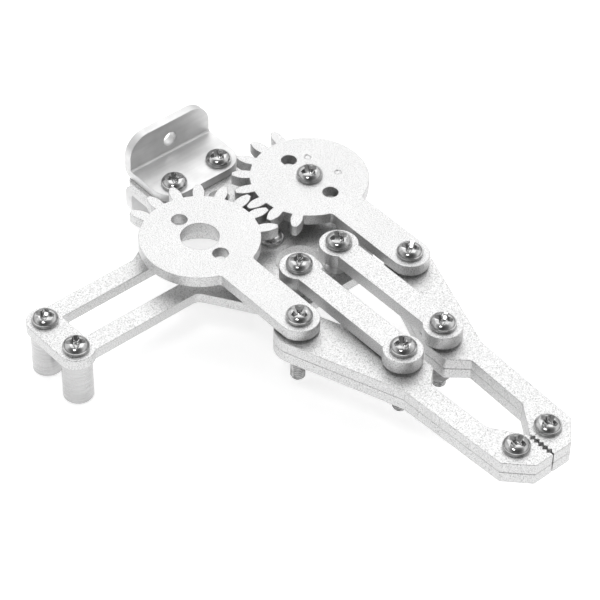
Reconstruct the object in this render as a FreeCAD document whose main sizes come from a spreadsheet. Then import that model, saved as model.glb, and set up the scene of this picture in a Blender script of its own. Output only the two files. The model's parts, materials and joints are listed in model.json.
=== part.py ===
import FreeCAD, Part

import math
import os

import Sketcher

# Two-jaw parallel gripper for a hobby servo, built closed. Millimetres and degrees.
# X runs forward to the jaw tips, Y from the drive gear to the driven gear, Z up. Places in
# this file are measured from the point midway between the two gear axes on the base plate's
# top face. place() moves every part so that the model's origin is on the rear face of the
# angle brackets, midway between their two flange holes.

DIMENSIONS = {
    # sheet stack
    "plate_thickness": 2.5,
    "washer_thickness": 0.45,
    "running_gap": 0.05,
    "link_thickness": 3.0,
    "bracket_thickness": 2.0,
    # gears and arms
    "gear_half_spacing": 14.5,
    "gear_body_radius": 12.3,
    "gear_tip_radius": 16.0,
    "full_circle_teeth": 18.0,
    "cut_teeth": 8.0,
    "pressure_angle": 20.0,
    "tooth_width": 2.28,
    "drive_first_tooth": 62.0,
    "driven_first_tooth": 52.0,
    "arm_length": 30.4,
    "arm_half_width": 4.1,
    "arm_fillet": 0.8,
    "horn_bore_radius": 3.9,
    "horn_screw_radius": 1.6,
    "horn_screw_offset": 6.5,
    "dimple_radius": 0.7,
    "dimple_depth": 0.25,
    "dimple_offset": 6.0,
    "dimple_near_angle": 62.0,
    "dimple_far_angle": 143.0,
    # lever between the two pivots on a jaw, the same as between the two on the base
    "lever_forward": 19.6,
    "lever_inward": 9.3,
    "link_lug_radius": 4.0,
    "link_bar_half_width": 2.7,
    # fasteners
    "screw_radius": 1.5,
    "pivot_hole_radius": 1.6,
    "thread_hole_radius": 1.52,
    "thread_pitch_radius": 1.34,
    "head_radius": 2.7,
    "head_height": 1.8,
    "head_fillet": 1.0,
    "recess_half_width": 0.4,
    "recess_half_length": 1.9,
    "recess_depth": 1.1,
    "nut_corner_radius": 3.17,
    "nut_height": 2.6,
    "nut_collar_radius": 2.5,
    "nut_collar_height": 2.4,
    "pivot_screw_length": 16.0,
    "bracket_screw_length": 12.0,
    "tip_screw_length": 5.6,
    "servo_screw_length": 6.0,
    "servo_screw_relief": 0.4,
    "washer_radius": 3.5,
    "link_spacer_radius": 2.9,
    "gear_spacer_radius": 3.6,
    # servo frame
    "standoff_radius": 3.1,
    "standoff_length": 10.0,
    "servo_hole_radius": 1.7,
    "servo_long_spacing": 49.5,
    "servo_short_spacing": 10.0,
    "servo_bar_half_width": 7.9,
    "servo_lobe_radius": 3.8,
    "servo_slot_half_width": 3.6,
    "servo_slot_end": 46.3,
    "servo_boss_radius": 8.0,
    # base plate
    "base_front": 24.6,
    "base_front_half_width": 10.9,
    "base_rear": 28.3,
    "base_rear_half_width": 11.4,
    "base_neck": 15.0,
    "base_shoulder": 21.7,
    "base_flare": 25.5,
    "base_corner_radius": 2.0,
    "centre_hole_place": 13.9,
    "centre_hole_radius": 4.75,
    "rear_hole_place": 11.6,
    "rear_hole_radius": 2.1,
    # angle brackets
    "bracket_half_width": 10.5,
    "bracket_back": 29.6,
    "bracket_front": 15.3,
    "bracket_height": 9.8,
    "bracket_corner_radius": 5.0,
    "bracket_bend_radius": 2.2,
    "bracket_inner_radius": 0.6,
    "bracket_screw_place": 18.9,
    "bracket_screw_side": 5.9,
    "bracket_hole_level": 5.25,
    "bracket_hole_radius": 1.6,
    # jaws
    "jaw_half_width": 5.0,
    "elbow_forward": 56.0,
    "elbow_side": 10.3,
    "shoulder_forward": 81.3,
    "shoulder_side": 9.2,
    "tip_forward": 86.0,
    "tip_side": 4.6,
    "grip_side": 0.15,
    "grip_rear": 79.4,
    "throat_front": 72.8,
    "throat_front_side": 4.7,
    "throat_rear": 58.2,
    "throat_rear_side": 5.3,
    "heel_front": 54.8,
    "heel_rear": 49.4,
    "heel_side": 1.5,
    "jaw_corner_radius": 0.8,
    "notch_pitch": 1.1,
    "notch_depth": 0.55,
    "notch_count": 5.0,
    "tip_screw_forward": 80.2,
    "tip_screw_side": 4.1,
}


class Size:
    """A number and the sheet expression that gives it, kept together."""

    def __init__(self, number, text):
        self.number = float(number)
        self.text = text

    def __add__(self, other):
        other = as_size(other)
        return Size(self.number + other.number, f"({self.text} + {other.text})")

    def __sub__(self, other):
        other = as_size(other)
        return Size(self.number - other.number, f"({self.text} - {other.text})")

    def __mul__(self, other):
        other = as_size(other)
        return Size(self.number * other.number, f"({self.text} * {other.text})")

    def __truediv__(self, other):
        other = as_size(other)
        return Size(self.number / other.number, f"({self.text} / {other.text})")

    def __neg__(self):
        return self * -1

    __rmul__ = __mul__


def as_size(thing):
    return thing if isinstance(thing, Size) else Size(thing, f"{thing:g}")


def size(alias):
    return Size(DIMENSIONS[alias], f"Dims.{alias}")


def cosine(angle):
    return Size(math.cos(math.radians(angle.number)), f"cos({angle.text})")


def sine(angle):
    return Size(math.sin(math.radians(angle.number)), f"sin({angle.text})")


doc = FreeCAD.newDocument("gripper")
sheet = doc.addObject("Spreadsheet::Sheet", "Dims")
for row, (alias, number) in enumerate(DIMENSIONS.items(), start=1):
    sheet.set(f"A{row}", alias)
    sheet.set(f"B{row}", str(number))
    sheet.setAlias(f"B{row}", alias)
doc.recompute()

ZERO = as_size(0.0)
PLATE = size("plate_thickness")
GAP = size("running_gap")
ARM_BOTTOM = PLATE + size("washer_thickness") + GAP
ARM_TOP = ARM_BOTTOM + PLATE
LINK_TOP = ARM_BOTTOM + size("link_thickness")
UNDERSIDE = -PLATE
GEAR_SIDE = size("gear_half_spacing")

# The drive side lies at negative Y and the driven side is its mirror image.
SIDES = (("drive", -1), ("driven", 1))

# Pivots of the driven side, as (forward, side). The drive side has the opposite side value.
ARM_PIVOT = (size("arm_length"), GEAR_SIDE)
LINK_REAR = (size("lever_forward"), GEAR_SIDE - size("lever_inward"))
LINK_FRONT = (ARM_PIVOT[0] + size("lever_forward"), ARM_PIVOT[1] - size("lever_inward"))
TIP_SCREW = (size("tip_screw_forward"), size("tip_screw_side"))

parts = []


# ---------------------------------------------------------------- document helpers


def keep(item, label):
    item.Label = label
    parts.append(item)
    return item


def place(item, forward=ZERO, side=ZERO, level=ZERO):
    """Put a part at a bound place, moved to the model's origin."""
    places = (size("bracket_back") + forward, side, PLATE / 2 + level)
    for axis, where in zip("xyz", places):
        item.setExpression(f"Placement.Base.{axis}", as_size(where).text)


def new_body(label):
    return keep(doc.addObject("PartDesign::Body", label), label)


def new_sketch(body, name, plane="XY_Plane", level=None):
    sketch = body.newObject("Sketcher::SketchObject", name)
    support = next(f for f in body.Origin.OriginFeatures if f.Role == plane)
    sketch.AttachmentSupport = [(support, "")]
    sketch.MapMode = "FlatFace"
    if level is not None:
        sketch.setExpression("AttachmentOffset.Base.z", level.text)
    return sketch


def bind(sketch, kind, references, where):
    index = sketch.addConstraint(Sketcher.Constraint(kind, *references, where.number))
    sketch.setExpression(f"Constraints[{index}]", where.text)


def draw_outline(sketch, points):
    """A closed polygon whose corners are bound to the sheet."""
    first = sketch.GeometryCount
    corners = [(as_size(x), as_size(y)) for x, y in points]
    count = len(corners)
    vectors = [FreeCAD.Vector(x.number, y.number, 0) for x, y in corners]
    for index in range(count):
        sketch.addGeometry(Part.LineSegment(vectors[index], vectors[(index + 1) % count]))
    for index in range(count):
        follower = first + (index + 1) % count
        sketch.addConstraint(Sketcher.Constraint("Coincident", first + index, 2, follower, 1))
    for index, (x, y) in enumerate(corners):
        bind(sketch, "DistanceX", (-1, 1, first + index, 1), x)
        bind(sketch, "DistanceY", (-1, 1, first + index, 1), y)


def draw_circle(sketch, radius, forward=ZERO, side=ZERO):
    forward = as_size(forward)
    side = as_size(side)
    centre = FreeCAD.Vector(forward.number, side.number, 0)
    index = sketch.addGeometry(Part.Circle(centre, FreeCAD.Vector(0, 0, 1), radius.number))
    bind(sketch, "Radius", (index,), radius)
    bind(sketch, "DistanceX", (-1, 1, index, 3), forward)
    bind(sketch, "DistanceY", (-1, 1, index, 3), side)


def pad(body, sketch, length, downward=False, symmetric=False):
    feature = body.newObject("PartDesign::Pad", sketch.Name + "_pad")
    feature.Profile = sketch
    feature.setExpression("Length", length.text)
    feature.Reversed = downward
    if symmetric:
        feature.SideType = "Symmetric"
    sketch.Visibility = False
    return feature


def cut_through(body, sketch):
    """A pocket through everything, both ways from the sketch."""
    feature = body.newObject("PartDesign::Pocket", sketch.Name + "_cut")
    feature.Profile = sketch
    feature.Type = "ThroughAll"
    feature.SideType = "Symmetric"
    return feature


def cut_down(body, sketch, depth):
    feature = body.newObject("PartDesign::Pocket", sketch.Name + "_cut")
    feature.Profile = sketch
    feature.setExpression("Length", depth.text)
    return feature


def round_disc(body, name, radius, length, forward=ZERO, side=ZERO):
    sketch = new_sketch(body, name)
    draw_circle(sketch, radius, forward, side)
    return pad(body, sketch, length)


def holes(body, name, circles):
    """One pocket for a list of (radius, forward, side)."""
    sketch = new_sketch(body, name)
    for radius, forward, side in circles:
        draw_circle(sketch, radius, forward, side)
    return cut_through(body, sketch)


def round_edges(body, radius, chosen):
    """Fillet the edges of the body's tip that the test accepts."""
    doc.recompute()
    base = body.Tip
    names = [f"Edge{i}" for i, edge in enumerate(base.Shape.Edges, start=1) if chosen(edge)]
    feature = body.newObject("PartDesign::Fillet", f"{body.Name}_round{len(body.Group)}")
    feature.Base = (base, names)
    feature.setExpression("Radius", radius.text)
    return feature


def is_along(edge, direction):
    if len(edge.Vertexes) != 2 or not isinstance(edge.Curve, Part.Line):
        return False
    run = edge.Vertexes[1].Point - edge.Vertexes[0].Point
    return abs(run.normalize().dot(direction)) > 0.999


def near_any(edge, places, reach=0.3):
    centre = edge.CenterOfMass
    return any(math.hypot(centre.x - x, centre.y - y) < reach for x, y in places)


def upright_at(places):
    numbers = [(as_size(x).number, as_size(y).number) for x, y in places]
    up = FreeCAD.Vector(0, 0, 1)
    return lambda edge: is_along(edge, up) and near_any(edge, numbers)


# ---------------------------------------------------------------- base and brackets


def servo_holes():
    """Far pair at the end of the frame, near pair on the centre line."""
    half = size("servo_short_spacing") / 2
    for end, side in (("far", -size("servo_long_spacing")), ("near", ZERO)):
        for row, forward in (("rear", -half), ("front", half)):
            yield f"{end}_{row}", forward, side


def base_outline():
    bar = size("servo_bar_half_width")
    far = size("servo_long_spacing")
    end = far + size("servo_lobe_radius")
    half = size("servo_short_spacing") / 2
    rear = size("base_rear")
    rear_side = size("base_rear_half_width")
    front = size("base_front")
    front_side = size("base_front_half_width")
    neck = size("base_neck")
    shoulder = size("base_shoulder")
    return [
        (-rear, -rear_side),
        (-neck, -rear_side),
        (-bar, -size("base_flare")),
        (-bar, -far),
        (-half, -end),
        (half, -end),
        (bar, -far),
        (bar, -shoulder),
        (front, -front_side),
        (front, front_side),
        (bar, shoulder),
        (-bar, shoulder),
        (-neck, rear_side),
        (-rear, rear_side),
    ]


def make_base_plate():
    body = new_body("base_plate")
    outline = base_outline()
    sketch = new_sketch(body, "base_outline")
    draw_outline(sketch, outline)
    pad(body, sketch, PLATE)
    for name, forward, side in servo_holes():
        if name.startswith("far"):
            round_disc(body, f"lobe_{name}", size("servo_lobe_radius"), PLATE, forward, side)

    slot = size("servo_slot_half_width")
    window = new_sketch(body, "servo_slot")
    end = size("servo_slot_end")
    draw_outline(
        window,
        [(-slot, -end), (slot, -end), (slot, -GEAR_SIDE), (-slot, -GEAR_SIDE)],
    )
    cut_through(body, window)
    holes(body, "servo_boss_hole", [(size("servo_boss_radius"), ZERO, -GEAR_SIDE)])

    thread = size("thread_hole_radius")
    bracket = size("bracket_screw_side")
    circles = [
        (size("centre_hole_radius"), size("centre_hole_place"), ZERO),
        (size("rear_hole_radius"), -size("rear_hole_place"), ZERO),
        (thread, ZERO, GEAR_SIDE),
        (thread, LINK_REAR[0], LINK_REAR[1]),
        (thread, LINK_REAR[0], -LINK_REAR[1]),
        (thread, -size("bracket_screw_place"), bracket),
        (thread, -size("bracket_screw_place"), -bracket),
    ]
    clearance = size("servo_hole_radius")
    circles += [(clearance, forward, side) for _, forward, side in servo_holes()]
    holes(body, "base_holes", circles)

    rounded = [corner for corner in outline if abs(corner[1].number) < size("servo_slot_end").number]
    round_edges(body, size("base_corner_radius"), upright_at(rounded))
    place(body, level=UNDERSIDE)


def make_bracket(label, up):
    """An angle bracket of bent sheet, standing (up = 1) or hanging (up = -1)."""
    body = new_body(label)
    sheet_thickness = size("bracket_thickness")
    back = size("bracket_back")
    height = size("bracket_height")
    profile = new_sketch(body, f"{label}_profile", "XZ_Plane")
    draw_outline(
        profile,
        [
            (-back, ZERO),
            (-size("bracket_front"), ZERO),
            (-size("bracket_front"), sheet_thickness * up),
            (-back + sheet_thickness, sheet_thickness * up),
            (-back + sheet_thickness, height * up),
            (-back, height * up),
        ],
    )
    pad(body, profile, size("bracket_half_width") * 2, symmetric=True)

    across = FreeCAD.Vector(0, 1, 0)
    outer = -back.number
    inner = outer + sheet_thickness.number
    step = up * sheet_thickness.number

    def is_bend(x, z):
        def chosen(edge):
            centre = edge.CenterOfMass
            here = math.hypot(centre.x - x, centre.z - z) < 0.1
            return here and is_along(edge, across)

        return chosen

    round_edges(body, size("bracket_inner_radius"), is_bend(inner, step))
    round_edges(body, size("bracket_bend_radius"), is_bend(outer, 0.0))

    half = size("bracket_half_width").number
    front = -size("bracket_front").number
    top = up * height.number

    def is_corner(edge):
        centre = edge.CenterOfMass
        at_side = abs(abs(centre.y) - half) < 0.1
        leg = abs(centre.x - front) < 0.1 and is_along(edge, FreeCAD.Vector(0, 0, 1))
        flange = abs(centre.z - top) < 0.1 and is_along(edge, FreeCAD.Vector(1, 0, 0))
        return at_side and (leg or flange)

    round_edges(body, size("bracket_corner_radius"), is_corner)

    thread = size("thread_hole_radius")
    side = size("bracket_screw_side")
    screw = -size("bracket_screw_place")
    holes(body, f"{label}_screw_holes", [(thread, screw, side), (thread, screw, -side)])
    flange_hole = new_sketch(body, f"{label}_flange_hole", "YZ_Plane")
    draw_circle(flange_hole, size("bracket_hole_radius"), ZERO, size("bracket_hole_level") * up)
    cut_through(body, flange_hole)
    place(body, level=ZERO if up > 0 else UNDERSIDE)


# ---------------------------------------------------------------- gears, arms and links


def tooth_outline(first_angle):
    """One involute tooth in the gear's own frame, centred on first_angle."""
    pitch = DIMENSIONS["gear_half_spacing"]
    pressure = math.radians(DIMENSIONS["pressure_angle"])
    base = pitch * math.cos(pressure)
    half_at_pitch = DIMENSIONS["tooth_width"] / 2 / pitch

    def involute(radius):
        angle = math.acos(min(1.0, base / radius))
        return math.tan(angle) - angle

    flank = []
    tip = DIMENSIONS["gear_tip_radius"]
    for radius in (base, pitch, (pitch + tip) / 2, tip):
        flank.append((radius, half_at_pitch + involute(pitch) - involute(radius)))
    flank.insert(0, (DIMENSIONS["gear_body_radius"] - 1.0, flank[0][1]))

    centre = math.radians(first_angle)
    rising = [(radius, centre - half) for radius, half in flank]
    falling = [(radius, centre + half) for radius, half in reversed(flank)]
    return [(r * math.cos(a), r * math.sin(a)) for r, a in rising + falling]


def make_gear_arm(name, hand):
    """A partial gear with its arm, drawn with the arm along X and its teeth on the inner side."""
    body = new_body(f"{name}_gear_arm")
    inner = -hand
    round_disc(body, f"{name}_gear_body", size("gear_body_radius"), PLATE)
    bar = new_sketch(body, f"{name}_arm_bar")
    length = size("arm_length")
    width = size("arm_half_width")
    draw_outline(bar, [(ZERO, -width), (length, -width), (length, width), (ZERO, width)])
    pad(body, bar, PLATE)
    round_disc(body, f"{name}_arm_end", width, PLATE, length)

    reach = size("gear_body_radius").number
    root = math.sqrt(reach**2 - width.number**2)
    round_edges(body, size("arm_fillet"), upright_at([(root, width), (root, -width)]))

    tooth = new_sketch(body, f"{name}_tooth")
    draw_outline(tooth, tooth_outline(inner * DIMENSIONS[f"{name}_first_tooth"]))
    tooth_pad = pad(body, tooth, PLATE)
    teeth = body.newObject("PartDesign::PolarPattern", f"{name}_teeth")
    teeth.Originals = [tooth_pad]
    teeth.Axis = (tooth, ["N_Axis"])
    teeth.Reversed = inner < 0
    body.Tip = teeth
    count = size("cut_teeth")
    teeth.setExpression("Angle", ((count - 1) * 360 / size("full_circle_teeth")).text)
    teeth.setExpression("Occurrences", count.text)

    offset = size("horn_screw_offset")
    screw = size("horn_screw_radius")
    centre = size("horn_bore_radius") if name == "drive" else size("pivot_hole_radius")
    holes(
        body,
        f"{name}_gear_holes",
        [
            (centre, ZERO, ZERO),
            (screw, offset, ZERO),
            (screw, -offset, ZERO),
            (size("pivot_hole_radius"), length, ZERO),
        ],
    )
    if name == "driven":
        dimples = new_sketch(body, "driven_gear_dimples", level=PLATE)
        for end in ("near", "far"):
            angle = size(f"dimple_{end}_angle")
            reach = size("dimple_offset")
            draw_circle(dimples, size("dimple_radius"), reach * cosine(angle), reach * sine(angle))
        cut_down(body, dimples, size("dimple_depth"))
    place(body, side=GEAR_SIDE * hand, level=ARM_BOTTOM)


def make_link(name, hand):
    """A dumbbell link, parallel to its arm, from the base to the jaw."""
    body = new_body(f"{name}_link")
    thickness = size("link_thickness")
    length = size("arm_length")
    lug = size("link_lug_radius")
    half = size("link_bar_half_width")
    round_disc(body, f"{name}_link_rear", lug, thickness)
    round_disc(body, f"{name}_link_front", lug, thickness, length)
    bar = new_sketch(body, f"{name}_link_bar")
    draw_outline(bar, [(ZERO, -half), (length, -half), (length, half), (ZERO, half)])
    pad(body, bar, thickness)
    pivot = size("pivot_hole_radius")
    holes(body, f"{name}_link_holes", [(pivot, ZERO, ZERO), (pivot, length, ZERO)])
    place(body, LINK_REAR[0], LINK_REAR[1] * hand, ARM_BOTTOM)


# ---------------------------------------------------------------- jaws


def jaw_outline():
    """The driven side's jaw, closed: round the two pivots, out to the tip and back."""
    slope = math.atan2(DIMENSIONS["lever_inward"], DIMENSIONS["lever_forward"])
    normal = (math.sin(slope), math.cos(slope))
    half = size("jaw_half_width")
    return [
        (ARM_PIVOT[0] + half * normal[0], ARM_PIVOT[1] + half * normal[1]),
        (ARM_PIVOT[0] - half * normal[0], ARM_PIVOT[1] - half * normal[1]),
        (size("heel_rear"), size("heel_side")),
        (size("heel_front"), size("heel_side")),
        (size("throat_rear"), size("throat_rear_side")),
        (size("throat_front"), size("throat_front_side")),
        (size("grip_rear"), size("grip_side")),
        (size("tip_forward"), size("grip_side")),
        (size("tip_forward"), size("tip_side")),
        (size("shoulder_forward"), size("shoulder_side")),
        (size("elbow_forward"), size("elbow_side")),
    ]


def make_jaw_plate(name, hand, layer, level):
    label = f"{name}_jaw_{layer}_plate"
    body = new_body(label)
    outline = [(x, y * hand) for x, y in jaw_outline()]
    sketch = new_sketch(body, f"{label}_outline")
    draw_outline(sketch, outline)
    pad(body, sketch, PLATE)
    half = size("jaw_half_width")
    round_disc(body, f"{label}_rear", half, PLATE, ARM_PIVOT[0], ARM_PIVOT[1] * hand)
    softened = outline[3:6] + outline[8:]
    round_edges(body, size("jaw_corner_radius"), upright_at(softened))

    notch = new_sketch(body, f"{label}_notch")
    pitch = size("notch_pitch")
    depth = size("notch_depth")
    start = size("grip_rear") + pitch * 0.4
    face = size("grip_side")
    outside = face - depth
    draw_outline(
        notch,
        [
            (start, outside * hand),
            (start + pitch, outside * hand),
            (start + pitch * 0.9, face * hand),
            (start + pitch * 0.5, (face + depth) * hand),
            (start + pitch * 0.1, face * hand),
        ],
    )
    notch_cut = cut_through(body, notch)
    notches = body.newObject("PartDesign::LinearPattern", f"{label}_notches")
    notches.Originals = [notch_cut]
    notches.Direction = (notch, ["H_Axis"])
    body.Tip = notches
    count = size("notch_count")
    notches.setExpression("Length", (pitch * (count - 1)).text)
    notches.setExpression("Occurrences", count.text)

    thread = size("thread_hole_radius")
    pivots = (ARM_PIVOT, LINK_FRONT, TIP_SCREW)
    holes(body, f"{label}_holes", [(thread, x, y * hand) for x, y in pivots])
    place(body, level=level)


# ---------------------------------------------------------------- turned parts


def cylinder(label, radius, length, level=ZERO):
    rod = doc.addObject("Part::Cylinder", label)
    rod.setExpression("Radius", radius.text)
    rod.setExpression("Height", length.text)
    rod.setExpression("Placement.Base.z", level.text)
    return rod


def combine(kind, label, base, tool):
    result = doc.addObject(kind, label)
    result.Base = base
    result.Tool = tool
    return result


def make_ring(label, radius, length, forward, side, level):
    """A plain round spacer or washer."""
    outside = cylinder(f"{label}_outside", radius, length)
    bore = cylinder(f"{label}_bore", size("thread_hole_radius"), length)
    ring = keep(combine("Part::Cut", label, outside, bore), label)
    place(ring, forward, side, level)


def make_standoff(label, forward, side):
    """A turned post, tapped through. The frame's screw fills the top of the thread."""
    length = size("standoff_length")
    outside = cylinder(f"{label}_outside", size("standoff_radius"), length)
    thread = cylinder(f"{label}_thread", size("thread_pitch_radius"), length)
    tapped = combine("Part::Cut", f"{label}_tapped", outside, thread)
    depth = size("servo_screw_length") - PLATE + size("servo_screw_relief")
    filled = cylinder(f"{label}_filled", size("thread_hole_radius"), depth, length - depth)
    post = keep(combine("Part::Cut", label, tapped, filled), label)
    place(post, forward, side, UNDERSIDE - length)


def make_lock_nut(label, forward, side, top):
    """A hexagon nut with a round locking collar under it."""
    height = size("nut_height")
    collar_height = size("nut_collar_height")
    whole = height + collar_height
    hexagon = doc.addObject("Part::Prism", f"{label}_hexagon")
    hexagon.Polygon = 6
    hexagon.setExpression("Circumradius", size("nut_corner_radius").text)
    hexagon.setExpression("Height", height.text)
    hexagon.setExpression("Placement.Base.z", (-height).text)
    collar = cylinder(f"{label}_collar", size("nut_collar_radius"), collar_height, -whole)
    solid = combine("Part::Fuse", f"{label}_solid", hexagon, collar)
    bore = cylinder(f"{label}_bore", size("thread_hole_radius"), whole, -whole)
    nut = keep(combine("Part::Cut", label, solid, bore), label)
    place(nut, forward, side, top)


def make_screw(label, length, forward, side, seat):
    """A cross-recess pan head screw whose head sits on the level called seat."""
    body = new_body(label)
    height = size("head_height")
    head = new_sketch(body, label + "_head")
    draw_circle(head, size("head_radius"))
    pad(body, head, height)

    def is_rim(edge):
        return isinstance(edge.Curve, Part.Circle) and edge.CenterOfMass.z > height.number - 0.01

    round_edges(body, size("head_fillet"), is_rim)
    shank = new_sketch(body, label + "_shank")
    draw_circle(shank, size("screw_radius"))
    pad(body, shank, length, downward=True)

    arm = size("recess_half_length")
    half = size("recess_half_width")
    recess = new_sketch(body, label + "_recess", level=height)
    cross = [(arm, -half), (arm, half), (half, half)]
    points = []
    for quarter in range(4):
        for x, y in cross:
            for _ in range(quarter):
                x, y = -y, x
            points.append((x, y))
    draw_outline(recess, points)
    cut_down(body, recess, size("recess_depth"))
    place(body, forward, side, seat)


def make_pivots(name, hand):
    """Screws, washers, spacers and nuts of one side's linkage."""
    washer = size("washer_radius")
    arm_x, arm_y = ARM_PIVOT[0], ARM_PIVOT[1] * hand
    front_x, front_y = LINK_FRONT[0], LINK_FRONT[1] * hand
    rear_x, rear_y = LINK_REAR[0], LINK_REAR[1] * hand

    length = size("pivot_screw_length")
    make_screw(f"{name}_arm_screw", length, arm_x, arm_y, ARM_TOP + GAP)
    thickness = size("washer_thickness")
    make_ring(f"{name}_arm_washer", washer, thickness, arm_x, arm_y, PLATE)

    link_seat = LINK_TOP + GAP
    make_screw(f"{name}_link_front_screw", length, front_x, front_y, link_seat)
    make_ring(f"{name}_link_washer", washer, thickness, front_x, front_y, PLATE)
    make_lock_nut(f"{name}_link_front_nut", front_x, front_y, UNDERSIDE)

    make_screw(f"{name}_link_rear_screw", length, rear_x, rear_y, link_seat)
    spacer = size("link_spacer_radius")
    make_ring(f"{name}_link_spacer", spacer, ARM_BOTTOM - GAP, rear_x, rear_y, ZERO)
    make_lock_nut(f"{name}_link_rear_nut", rear_x, rear_y, UNDERSIDE)

    tip_x, tip_y = TIP_SCREW[0], TIP_SCREW[1] * hand
    make_screw(f"{name}_tip_screw", size("tip_screw_length"), tip_x, tip_y, PLATE)


def make_driven_gear_pivot():
    length = size("pivot_screw_length")
    make_screw("gear_centre_screw", length, ZERO, GEAR_SIDE, ARM_TOP + GAP)
    spacer = size("gear_spacer_radius")
    make_ring("gear_spacer", spacer, ARM_BOTTOM - GAP, ZERO, GEAR_SIDE, ZERO)
    make_lock_nut("gear_centre_nut", ZERO, GEAR_SIDE, UNDERSIDE)


def make_servo_mounting():
    for name, forward, side in servo_holes():
        make_standoff(f"standoff_{name}", forward, side)
        make_screw(f"servo_screw_{name}", size("servo_screw_length"), forward, side, ZERO)


def make_bracket_fasteners():
    sheet_thickness = size("bracket_thickness")
    length = size("bracket_screw_length")
    for name, hand in SIDES:
        forward = -size("bracket_screw_place")
        side = size("bracket_screw_side") * hand
        make_screw(f"bracket_screw_{name}_side", length, forward, side, sheet_thickness)
        make_lock_nut(f"bracket_nut_{name}_side", forward, side, UNDERSIDE - sheet_thickness)


# ---------------------------------------------------------------- build, check, export

make_base_plate()
make_bracket("upper_bracket", 1)
make_bracket("lower_bracket", -1)
make_servo_mounting()
make_bracket_fasteners()
for side_name, side_hand in SIDES:
    make_gear_arm(side_name, side_hand)
    make_link(side_name, side_hand)
    make_jaw_plate(side_name, side_hand, "upper", ZERO)
    make_jaw_plate(side_name, side_hand, "lower", UNDERSIDE)
    make_pivots(side_name, side_hand)
make_driven_gear_pivot()
doc.recompute()

for item in doc.Objects:
    if "Invalid" in item.State or "Error" in item.State:
        raise RuntimeError(f"{item.Label} did not compute: {item.State}")
os.makedirs("parts", exist_ok=True)
for item in parts:
    shape = item.Shape
    if shape.isNull() or not shape.isValid() or len(shape.Solids) != 1:
        raise RuntimeError(f"{item.Label} is not one valid solid")
    shape.exportStep(f"parts/{item.Label}.step")
print(f"{len(parts)} parts")
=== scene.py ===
import json
import math
import random

import bmesh
import bpy
from mathutils import Matrix, Vector

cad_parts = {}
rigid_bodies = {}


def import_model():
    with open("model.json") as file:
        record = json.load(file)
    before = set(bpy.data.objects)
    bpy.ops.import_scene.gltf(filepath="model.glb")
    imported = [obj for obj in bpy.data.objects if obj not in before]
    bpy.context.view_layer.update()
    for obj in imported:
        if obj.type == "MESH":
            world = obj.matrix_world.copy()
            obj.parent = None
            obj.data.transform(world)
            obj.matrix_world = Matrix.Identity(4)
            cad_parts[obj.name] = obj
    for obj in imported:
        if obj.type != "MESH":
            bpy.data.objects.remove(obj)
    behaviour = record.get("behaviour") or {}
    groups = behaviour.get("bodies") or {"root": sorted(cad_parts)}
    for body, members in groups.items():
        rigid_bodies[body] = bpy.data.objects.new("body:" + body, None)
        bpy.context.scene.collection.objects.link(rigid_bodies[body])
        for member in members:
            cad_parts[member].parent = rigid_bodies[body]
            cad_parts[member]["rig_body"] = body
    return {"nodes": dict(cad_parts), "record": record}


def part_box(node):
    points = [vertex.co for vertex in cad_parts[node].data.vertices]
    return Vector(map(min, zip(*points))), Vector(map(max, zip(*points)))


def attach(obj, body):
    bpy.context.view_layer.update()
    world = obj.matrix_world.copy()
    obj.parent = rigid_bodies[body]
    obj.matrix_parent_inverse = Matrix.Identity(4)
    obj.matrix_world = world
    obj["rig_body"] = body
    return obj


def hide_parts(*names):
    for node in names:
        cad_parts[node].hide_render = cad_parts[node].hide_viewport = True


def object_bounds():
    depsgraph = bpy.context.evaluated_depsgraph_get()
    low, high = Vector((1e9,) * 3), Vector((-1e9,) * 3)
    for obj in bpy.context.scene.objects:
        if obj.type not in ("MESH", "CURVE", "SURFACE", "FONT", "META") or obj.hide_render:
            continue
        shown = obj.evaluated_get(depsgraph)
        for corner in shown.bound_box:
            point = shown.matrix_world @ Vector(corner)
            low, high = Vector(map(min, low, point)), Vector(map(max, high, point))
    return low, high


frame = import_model()
CAD_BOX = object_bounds()

MM = 0.001
TURN = 2 * math.pi
SHARP_ANGLE = math.radians(33)


def show(obj):
    bpy.context.scene.collection.objects.link(obj)
    return obj


# ---------------------------------------------------------------- camera, light, floor

# The camera, in millimetres and degrees: yaw is from the Y axis and pitch is downward.
LENS = 157.773
YAW, PITCH, ROLL = -48.159, 43.373, 1.533
AIM = (51.093, -6.454, 0)
DISTANCE = 521.873

WORLD_STRENGTH = 1.12
DIM_SIDE = (0.50, -0.45, 0.74)
FLOOR_HALF = 3.0
FLOOR_GAP = 0.0002
# The paper glows a little, which keeps it white and its shadows faint.
FLOOR_GLOW = 0.55


def make_camera():
    data = bpy.data.cameras.new("camera")
    data.sensor_width = 36.0
    data.lens = LENS
    data.clip_start = 0.02
    data.clip_end = 20.0
    camera = show(bpy.data.objects.new("camera", data))
    yaw, pitch, roll = (math.radians(a) for a in (YAW, PITCH, ROLL))
    forward = Vector(
        (math.sin(yaw) * math.cos(pitch), math.cos(yaw) * math.cos(pitch), -math.sin(pitch))
    )
    level = forward.cross(Vector((0, 0, 1))).normalized()
    rise = level.cross(forward)
    right = level * math.cos(roll) + rise * math.sin(roll)
    up = rise * math.cos(roll) - level * math.sin(roll)
    aim = Vector(AIM) * MM
    distance = DISTANCE * MM
    turn = Matrix((right, up, -forward)).transposed()
    camera.matrix_world = Matrix.LocRotScale(aim - forward * distance, turn.to_quaternion(), None)
    bpy.context.scene.camera = camera


def make_area(name, place, aim, size, power):
    data = bpy.data.lights.new(name, "AREA")
    data.shape = "RECTANGLE"
    data.size, data.size_y = size
    data.energy = power
    lamp = show(bpy.data.objects.new(name, data))
    lamp.location = place
    lamp.rotation_mode = "QUATERNION"
    lamp.rotation_quaternion = (Vector(aim) - Vector(place)).to_track_quat("-Z", "Y")


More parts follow.
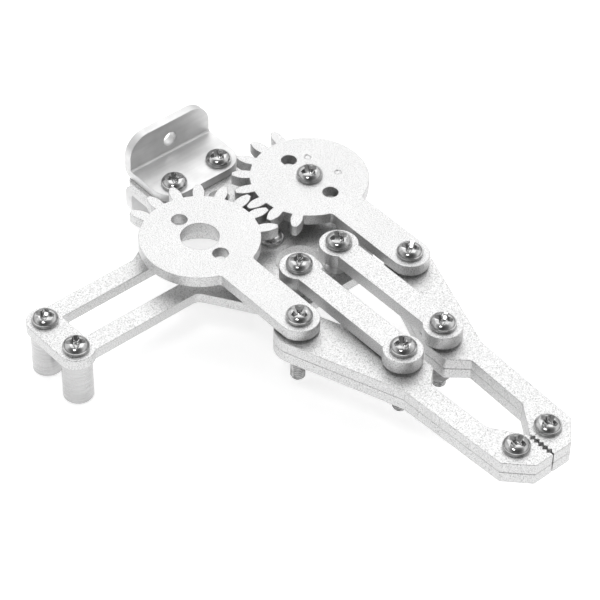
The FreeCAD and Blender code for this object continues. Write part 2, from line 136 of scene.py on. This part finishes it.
def make_world():
    """A white tent: bright at mid height, darker at the horizon, with one dim side."""
    world = bpy.data.worlds.new("studio")
    bpy.context.scene.world = world
    world.use_nodes = True
    tree = world.node_tree
    back = tree.nodes["Background"]
    where = tree.nodes.new("ShaderNodeTexCoord").outputs["Generated"]
    split = tree.nodes.new("ShaderNodeSeparateXYZ")
    tree.links.new(where, split.inputs[0])
    height = tree.nodes.new("ShaderNodeValToRGB")
    tree.links.new(split.outputs["Z"], height.inputs[0])
    set_ramp(height, ((0.0, 0.42), (0.22, 0.55), (0.45, 1.0), (0.80, 1.0), (0.97, 0.8)))
    toward = tree.nodes.new("ShaderNodeVectorMath")
    toward.operation = "DOT_PRODUCT"
    toward.inputs[1].default_value = Vector(DIM_SIDE).normalized()
    tree.links.new(where, toward.inputs[0])
    dim = tree.nodes.new("ShaderNodeValToRGB")
    tree.links.new(toward.outputs["Value"], dim.inputs[0])
    set_ramp(dim, ((0.50, 1.0), (0.78, 0.30), (0.97, 0.10)))
    both = tree.nodes.new("ShaderNodeMix")
    both.data_type = "RGBA"
    both.blend_type = "MULTIPLY"
    both.inputs["Factor"].default_value = 1.0
    tree.links.new(height.outputs["Color"], both.inputs["A"])
    tree.links.new(dim.outputs["Color"], both.inputs["B"])
    tree.links.new(both.outputs["Result"], back.inputs["Color"])
    back.inputs["Strength"].default_value = WORLD_STRENGTH


def set_ramp(node, stops):
    """Grey stops, as (position, brightness)."""
    elements = node.color_ramp.elements
    while len(elements) < len(stops):
        elements.new(1.0)
    for element, (position, grey) in zip(elements, stops):
        element.position = position
        element.color = (grey, grey, grey, 1)


def make_floor():
    mesh = bpy.data.meshes.new("floor")
    half = FLOOR_HALF
    level = CAD_BOX[0].z - FLOOR_GAP
    corners = [(-half, -half), (half, -half), (half, half), (-half, half)]
    mesh.from_pydata([(x, y, level) for x, y in corners], [], [(0, 1, 2, 3)])
    floor = show(bpy.data.objects.new("floor", mesh))
    material = bpy.data.materials.new("floor_paper")
    material.use_nodes = True
    paper = material.node_tree.nodes["Principled BSDF"]
    paper.inputs["Base Color"].default_value = (0.82, 0.82, 0.82, 1)
    paper.inputs["Roughness"].default_value = 0.9
    paper.inputs["Emission Color"].default_value = (1, 1, 1, 1)
    paper.inputs["Emission Strength"].default_value = FLOOR_GLOW
    mesh.materials.append(material)


# ---------------------------------------------------------------- materials


class Finish:
    """A metal made of nodes, with its grain placed by object coordinates in metres."""

    def __init__(self, name, roughness):
        self.material = bpy.data.materials.new(name)
        self.material.use_nodes = True
        self.tree = self.material.node_tree
        self.shader = self.tree.nodes["Principled BSDF"]
        self.shader.inputs["Metallic"].default_value = 1.0
        self.shader.inputs["Roughness"].default_value = roughness
        self.place = self.node("ShaderNodeTexCoord").outputs["Object"]

    def node(self, kind, links=(), **inputs):
        made = self.tree.nodes.new(kind)
        for name, value in inputs.items():
            made.inputs[name.replace("_", " ")].default_value = value
        for name, source in dict(links).items():
            self.tree.links.new(source, made.inputs[name])
        return made

    def noise(self, per_mm, detail=2.0, stretch=None):
        place = self.place
        if stretch:
            place = self.node("ShaderNodeMapping", {"Vector": place}, Scale=stretch).outputs[0]
        made = self.node(
            "ShaderNodeTexNoise", {"Vector": place}, Scale=per_mm / MM, Detail=detail
        )
        return made.outputs["Fac"]

    def ramp(self, value, stops):
        made = self.node("ShaderNodeValToRGB", {"Fac": value})
        set_ramp(made, stops)
        return made.outputs["Color"]

    def times(self, first, second):
        made = self.node("ShaderNodeMix")
        made.data_type = "RGBA"
        made.blend_type = "MULTIPLY"
        made.inputs["Factor"].default_value = 1.0
        self.tree.links.new(first, made.inputs["A"])
        self.tree.links.new(second, made.inputs["B"])
        return made.outputs["Result"]

    def put(self, socket, value):
        self.tree.links.new(value, self.shader.inputs[socket])

    def bump(self, heights):
        """heights: (value, depth in mm), the coarse one first."""
        normal = None
        for value, depth in heights:
            links = {"Height": value}
            if normal:
                links["Normal"] = normal
            made = self.node("ShaderNodeBump", links, Strength=1.0, Distance=depth * MM)
            normal = made.outputs["Normal"]
        self.put("Normal", normal)


def blasted_aluminium():
    """Bead-blasted sheet: a fine bright grain with dark specks painted into its colour as
    reflections of darker surroundings, a little cloudy.
    """
    finish = Finish("blasted_aluminium", 0.42)
    grain = finish.noise(5.2, 3.0)
    fine = finish.noise(11.0, 2.0)
    cloud = finish.noise(0.12, 3.0)
    # Painted reflection: the dark specks in the colour stand in for blasted facets reflecting
    # darker surroundings.
    painted_speck_reflection = finish.ramp(grain, ((0.30, 0.30), (0.42, 0.56), (0.52, 0.72), (0.70, 0.78)))
    tone = finish.ramp(cloud, ((0.3, 0.94), (0.7, 1.0)))
    finish.put("Base Color", finish.times(painted_speck_reflection, tone))
    finish.put("Roughness", finish.ramp(cloud, ((0.3, 0.40), (0.7, 0.50))))
    finish.bump(((grain, 0.050), (fine, 0.014)))
    return finish.material


def bracket_aluminium():
    """Rolled sheet, satin, with faint streaks along the roll and soft blotches."""
    finish = Finish("bracket_aluminium", 0.48)
    streak = finish.noise(0.9, 2.0, stretch=(1.0, 0.06, 1.0))
    cloud = finish.noise(0.22, 3.0)
    grain = finish.noise(5.0, 2.0)
    tone = finish.ramp(streak, ((0.30, 0.68), (0.70, 0.74)))
    blotch = finish.ramp(cloud, ((0.30, 0.90), (0.65, 1.0)))
    finish.put("Base Color", finish.times(tone, blotch))
    finish.put("Roughness", finish.ramp(cloud, ((0.30, 0.54), (0.70, 0.44))))
    finish.bump(((cloud, 0.03), (streak, 0.003), (grain, 0.006)))
    return finish.material


def turned_aluminium():
    """Lathe-turned bar: fine rings round the axis, smooth and bright."""
    finish = Finish("turned_aluminium", 0.26)
    rings = finish.noise(1.0, 2.0, stretch=(0.25, 0.25, 7.0))
    cloud = finish.noise(0.3, 2.0)
    tone = finish.ramp(rings, ((0.30, 0.46), (0.70, 0.60)))
    finish.put("Base Color", tone)
    finish.put("Roughness", finish.ramp(cloud, ((0.30, 0.22), (0.70, 0.34))))
    finish.bump(((rings, 0.006),))
    return finish.material


def plated_steel(name, dark, bright, roughness, depth):
    """Nickel-plated steel, with small stains and a slightly uneven plating."""
    finish = Finish(name, roughness)
    stain = finish.noise(0.8, 3.0)
    plating = finish.noise(2.6, 2.0)
    smooth, dull = roughness * 0.75, roughness * 1.3
    finish.put("Base Color", finish.ramp(stain, ((0.35, dark), (0.62, bright))))
    finish.put("Roughness", finish.ramp(plating, ((0.30, smooth), (0.70, dull))))
    finish.bump(((plating, depth),))
    return finish.material


FINISHES = {
    "blasted_aluminium": blasted_aluminium(),
    "bracket_aluminium": bracket_aluminium(),
    "turned_aluminium": turned_aluminium(),
    "screw_steel": plated_steel("screw_steel", 0.36, 0.56, 0.13, 0.006),
    "nut_steel": plated_steel("nut_steel", 0.16, 0.28, 0.32, 0.010),
    "washer_steel": plated_steel("washer_steel", 0.42, 0.58, 0.28, 0.006),
}


# ---------------------------------------------------------------- mesh helpers


def skin(bm, rings, loop=False):
    """Join rings of points, all of one length or single points, into a closed skin."""
    made = [[bm.verts.new(point) for point in ring] for ring in rings]
    count = max(len(ring) for ring in made)
    pairs = list(zip(made, made[1:])) + ([(made[-1], made[0])] if loop else [])
    for low, high in pairs:
        for i in range(count):
            j = (i + 1) % count
            corners = (
                low[i % len(low)],
                low[j % len(low)],
                high[j % len(high)],
                high[i % len(high)],
            )
            bm.faces.new(list(dict.fromkeys(corners)))


def circle(radius, height, count=48):
    if radius == 0:
        return [(0, 0, height)]
    steps = (TURN * i / count for i in range(count))
    return [(radius * math.cos(a), radius * math.sin(a), height) for a in steps]


def finish_mesh(bm, name, scale=MM):
    bmesh.ops.recalc_face_normals(bm, faces=bm.faces)
    mesh = bpy.data.meshes.new(name)
    bm.to_mesh(mesh)
    bm.free()
    mesh.transform(Matrix.Scale(scale, 4))
    mesh.shade_smooth()
    mesh.set_sharp_from_angle(angle=SHARP_ANGLE)
    return mesh


def thread(bm, low, high, crest=1.5, root=1.2, pitch=0.5, count=28):
    """A screw thread from low to high, its rows wound along the helix, cut flat at both ends."""
    shape = ((0.0, root), (0.14, root), (0.44, crest), (0.62, crest))
    made = bmesh.new()
    first = math.floor(low / pitch) - 2
    last = math.ceil(high / pitch) + 1
    rows = []
    for lap in range(first, last + 1):
        for part, radius in shape:
            row = []
            for i in range(count + 1):
                angle = TURN * i / count
                height = (lap + part + i / count) * pitch
                row.append((radius * math.cos(angle), radius * math.sin(angle), height))
            rows.append(row)
    points = {}

    def vert(row, i):
        if i == count:
            row, i = row + len(shape), 0
        if (row, i) not in points:
            points[row, i] = made.verts.new(rows[row][i])
        return points[row, i]

    for row in range(len(rows) - 1 - len(shape)):
        for i in range(count):
            made.faces.new(
                (vert(row, i), vert(row, i + 1), vert(row + 1, i + 1), vert(row + 1, i))
            )
    for level, keep in ((low, -1), (high, 1)):
        bmesh.ops.bisect_plane(
            made,
            geom=made.verts[:] + made.edges[:] + made.faces[:],
            plane_co=(0, 0, level),
            plane_no=(0, 0, keep),
            clear_outer=True,
        )
    bmesh.ops.holes_fill(made, edges=[e for e in made.edges if e.is_boundary], sides=0)
    chamfer = 0.35
    for v in made.verts:
        radius = math.hypot(v.co.x, v.co.y)
        most = crest - chamfer + (v.co.z - low)
        if radius > most > 0:
            v.co.x *= most / radius
            v.co.y *= most / radius
    mesh = bpy.data.meshes.new("thread")
    made.to_mesh(mesh)
    made.free()
    bm.from_mesh(mesh)
    bpy.data.meshes.remove(mesh)


# ---------------------------------------------------------------- screws and nuts

# The head's outline from its top down to its seat, as (radius, height) in millimetres.
HEAD_PROFILE = (
    (0.0, 1.79), (0.7, 1.77), (1.3, 1.69), (1.8, 1.55), (2.15, 1.36), (2.42, 1.12),
    (2.6, 0.86), (2.68, 0.66), (2.70, 0.48), (2.70, 0.14), (2.62, 0.0), (1.5, 0.0),
)
SHANK_RADIUS = 1.5
SHANK_END = -1.0
HEAD_HEIGHT = 1.8
# Height, reach of a wing, half its width, and place of the corner between two wings.
RECESS_LEVELS = (
    (2.30, 2.30, 0.50, 0.86),
    (1.60, 1.98, 0.42, 0.74),
    (1.15, 1.42, 0.33, 0.58),
    (0.60, 0.86, 0.24, 0.40),
    (0.35, 0.20, 0.12, 0.14),
)


def recess_ring(height, reach, half, corner):
    """One level of the cross recess: four wings and the rounded corners between them."""
    quarter = ((reach, -half), (reach, half), (corner, corner))
    ring = []
    for turn in range(4):
        for x, y in quarter:
            for _ in range(turn):
                x, y = -y, x
            ring.append((x, y, height))
    return ring


def make_head():
    """The pan head with its cross recess and a stub of shank, in millimetres."""
    blank = bmesh.new()
    profile = HEAD_PROFILE + ((SHANK_RADIUS, SHANK_END), (0.0, SHANK_END))
    skin(blank, [circle(radius, height) for radius, height in profile])
    cutter = bmesh.new()
    rings = [recess_ring(*level) for level in RECESS_LEVELS]
    top, bottom = RECESS_LEVELS[0][0], RECESS_LEVELS[-1][0]
    skin(cutter, [[(0, 0, top)]] + rings + [[(0, 0, bottom - 0.1)]])
    body = show(bpy.data.objects.new("blank", finish_mesh(blank, "blank", 1.0)))
    tool = show(bpy.data.objects.new("cutter", finish_mesh(cutter, "cutter", 1.0)))
    cut = body.modifiers.new("recess", "BOOLEAN")
    cut.operation = "DIFFERENCE"
    cut.solver = "EXACT"
    cut.object = tool
    depsgraph = bpy.context.evaluated_depsgraph_get()
    head = bpy.data.meshes.new_from_object(body.evaluated_get(depsgraph))
    bpy.data.objects.remove(body)
    bpy.data.objects.remove(tool)
    return head


# Lengths of thread, and how far a thread reaches into the plain shank above it.
THREAD, ARM_SCREW_THREAD, THREAD_LAP = 3.4, 8.4, 0.15

# The nut: half its width, where its chamfer starts, the chamfer's slope, the hexagon's
# height, and the points round one ring.
NUT_FLAT = 2.745
NUT_BEVEL = 2.62
NUT_SLOPE = math.tan(math.radians(32))
NUT_HEX_HEIGHT = 2.6
NUT_POINTS = 72

HEAD = make_head()
rng = random.Random(11)


def add_piece(name, mesh, node, slot):
    piece = show(bpy.data.objects.new(name, mesh))
    mesh.materials.clear()
    mesh.materials.append(FINISHES[slot])
    body = frame["nodes"][node]["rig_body"]
    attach(piece, body)
    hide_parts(node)
    return piece


def make_screw(node, threaded):
    """A pan head screw with its last part, threaded mm long, cut as a thread."""
    low, high = (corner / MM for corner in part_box(node))
    middle = (low + high) / 2
    seat = high.z - HEAD_HEIGHT
    end = low.z - seat
    bm = bmesh.new()
    bm.from_mesh(HEAD)
    for v in bm.verts:
        if v.co.z < SHANK_END / 2:
            v.co.z = end + threaded
    bmesh.ops.rotate(bm, verts=bm.verts, matrix=Matrix.Rotation(rng.uniform(0, TURN), 3, "Z"))
    thread(bm, end, end + threaded + THREAD_LAP)
    bmesh.ops.translate(bm, verts=bm.verts, vec=(middle.x, middle.y, seat))
    add_piece(f"{node}_detail", finish_mesh(bm, node), node, "screw_steel")


def make_nut(node):
    """A lock nut: a chamfered hexagon with a rolled collar round its insert."""
    low, high = (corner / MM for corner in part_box(node))
    middle = (low + high) / 2
    count, bevel = NUT_POINTS, NUT_BEVEL

    def hexagon(inset, height, up):
        ring = []
        for i in range(count):
            angle = TURN * i / count
            across = (angle + math.pi / 6) % (math.pi / 3) - math.pi / 6
            radius = NUT_FLAT / math.cos(across) if inset is None else inset
            drop = max(0.0, radius - bevel) * NUT_SLOPE * (1 if up else -1)
            ring.append((radius * math.cos(angle), radius * math.sin(angle), height - drop))
        return ring

    top, joint, bottom = 0.0, -NUT_HEX_HEIGHT, low.z - high.z
    rings = [
        circle(1.52, bottom + 0.25, count),
        circle(1.52, top - 0.3, count),
        circle(1.80, top, count),
        hexagon(bevel, top, True),
        hexagon(None, top, True),
        hexagon(None, joint, False),
        hexagon(bevel, joint, False),
        circle(2.48, joint - 0.05, count),
        circle(2.42, joint - 0.45, count),
        circle(2.34, bottom + 0.28, count),
        circle(2.22, bottom + 0.08, count),
        circle(2.02, bottom, count),
        circle(1.86, bottom + 0.04, count),
        circle(1.80, bottom + 0.16, count),
        circle(1.62, bottom + 0.18, count),
    ]
    bm = bmesh.new()
    skin(bm, rings, loop=True)
    turn = Matrix.Rotation(rng.uniform(0, math.pi / 3), 3, "Z")
    bmesh.ops.rotate(bm, verts=bm.verts, matrix=turn)
    bmesh.ops.translate(bm, verts=bm.verts, vec=(middle.x, middle.y, high.z))
    add_piece(f"{node}_detail", finish_mesh(bm, node), node, "nut_steel")


# ---------------------------------------------------------------- CAD nodes that stay

EDGE, WASHER_EDGE = 0.16, 0.08


def refine(node, slot, width):
    """Soften the sharp edges of a CAD node and give it its finish."""
    obj = frame["nodes"][node]
    obj.data.materials.clear()
    obj.data.materials.append(FINISHES[slot])
    weld = obj.modifiers.new("weld", "WELD")
    weld.merge_threshold = 0.001 * MM
    flat = obj.modifiers.new("flat", "DECIMATE")
    flat.decimate_type = "DISSOLVE"
    flat.angle_limit = math.radians(0.5)
    soft = obj.modifiers.new("soft", "BEVEL")
    soft.width = width * MM
    soft.segments = 2
    soft.limit_method = "ANGLE"
    soft.angle_limit = math.radians(35)
    soft.use_clamp_overlap = False
    even = obj.modifiers.new("even", "WEIGHTED_NORMAL")
    even.weight = 60


for row in frame["record"]["subparts"]:
    node, slot = row["node"], row["material_slot"]
    if node.endswith("_nut") or "_nut_" in node:
        make_nut(node)
    elif node.endswith("_screw") or "_screw_" in node:
        make_screw(node, ARM_SCREW_THREAD if "arm_screw" in node else THREAD)
    else:
        refine(node, slot, WASHER_EDGE if "washer" in node else EDGE)

make_camera()
make_world()
make_floor()
make_area("spot", (0.16, -0.30, 0.62), (0.05, 0, 0), (0.16, 0.16), 0.7)
make_area("key", (-0.30, 0.30, 0.80), (0.05, 0, 0), (0.9, 0.9), 2.4)
bpy.context.scene.view_settings.view_transform = "Standard"
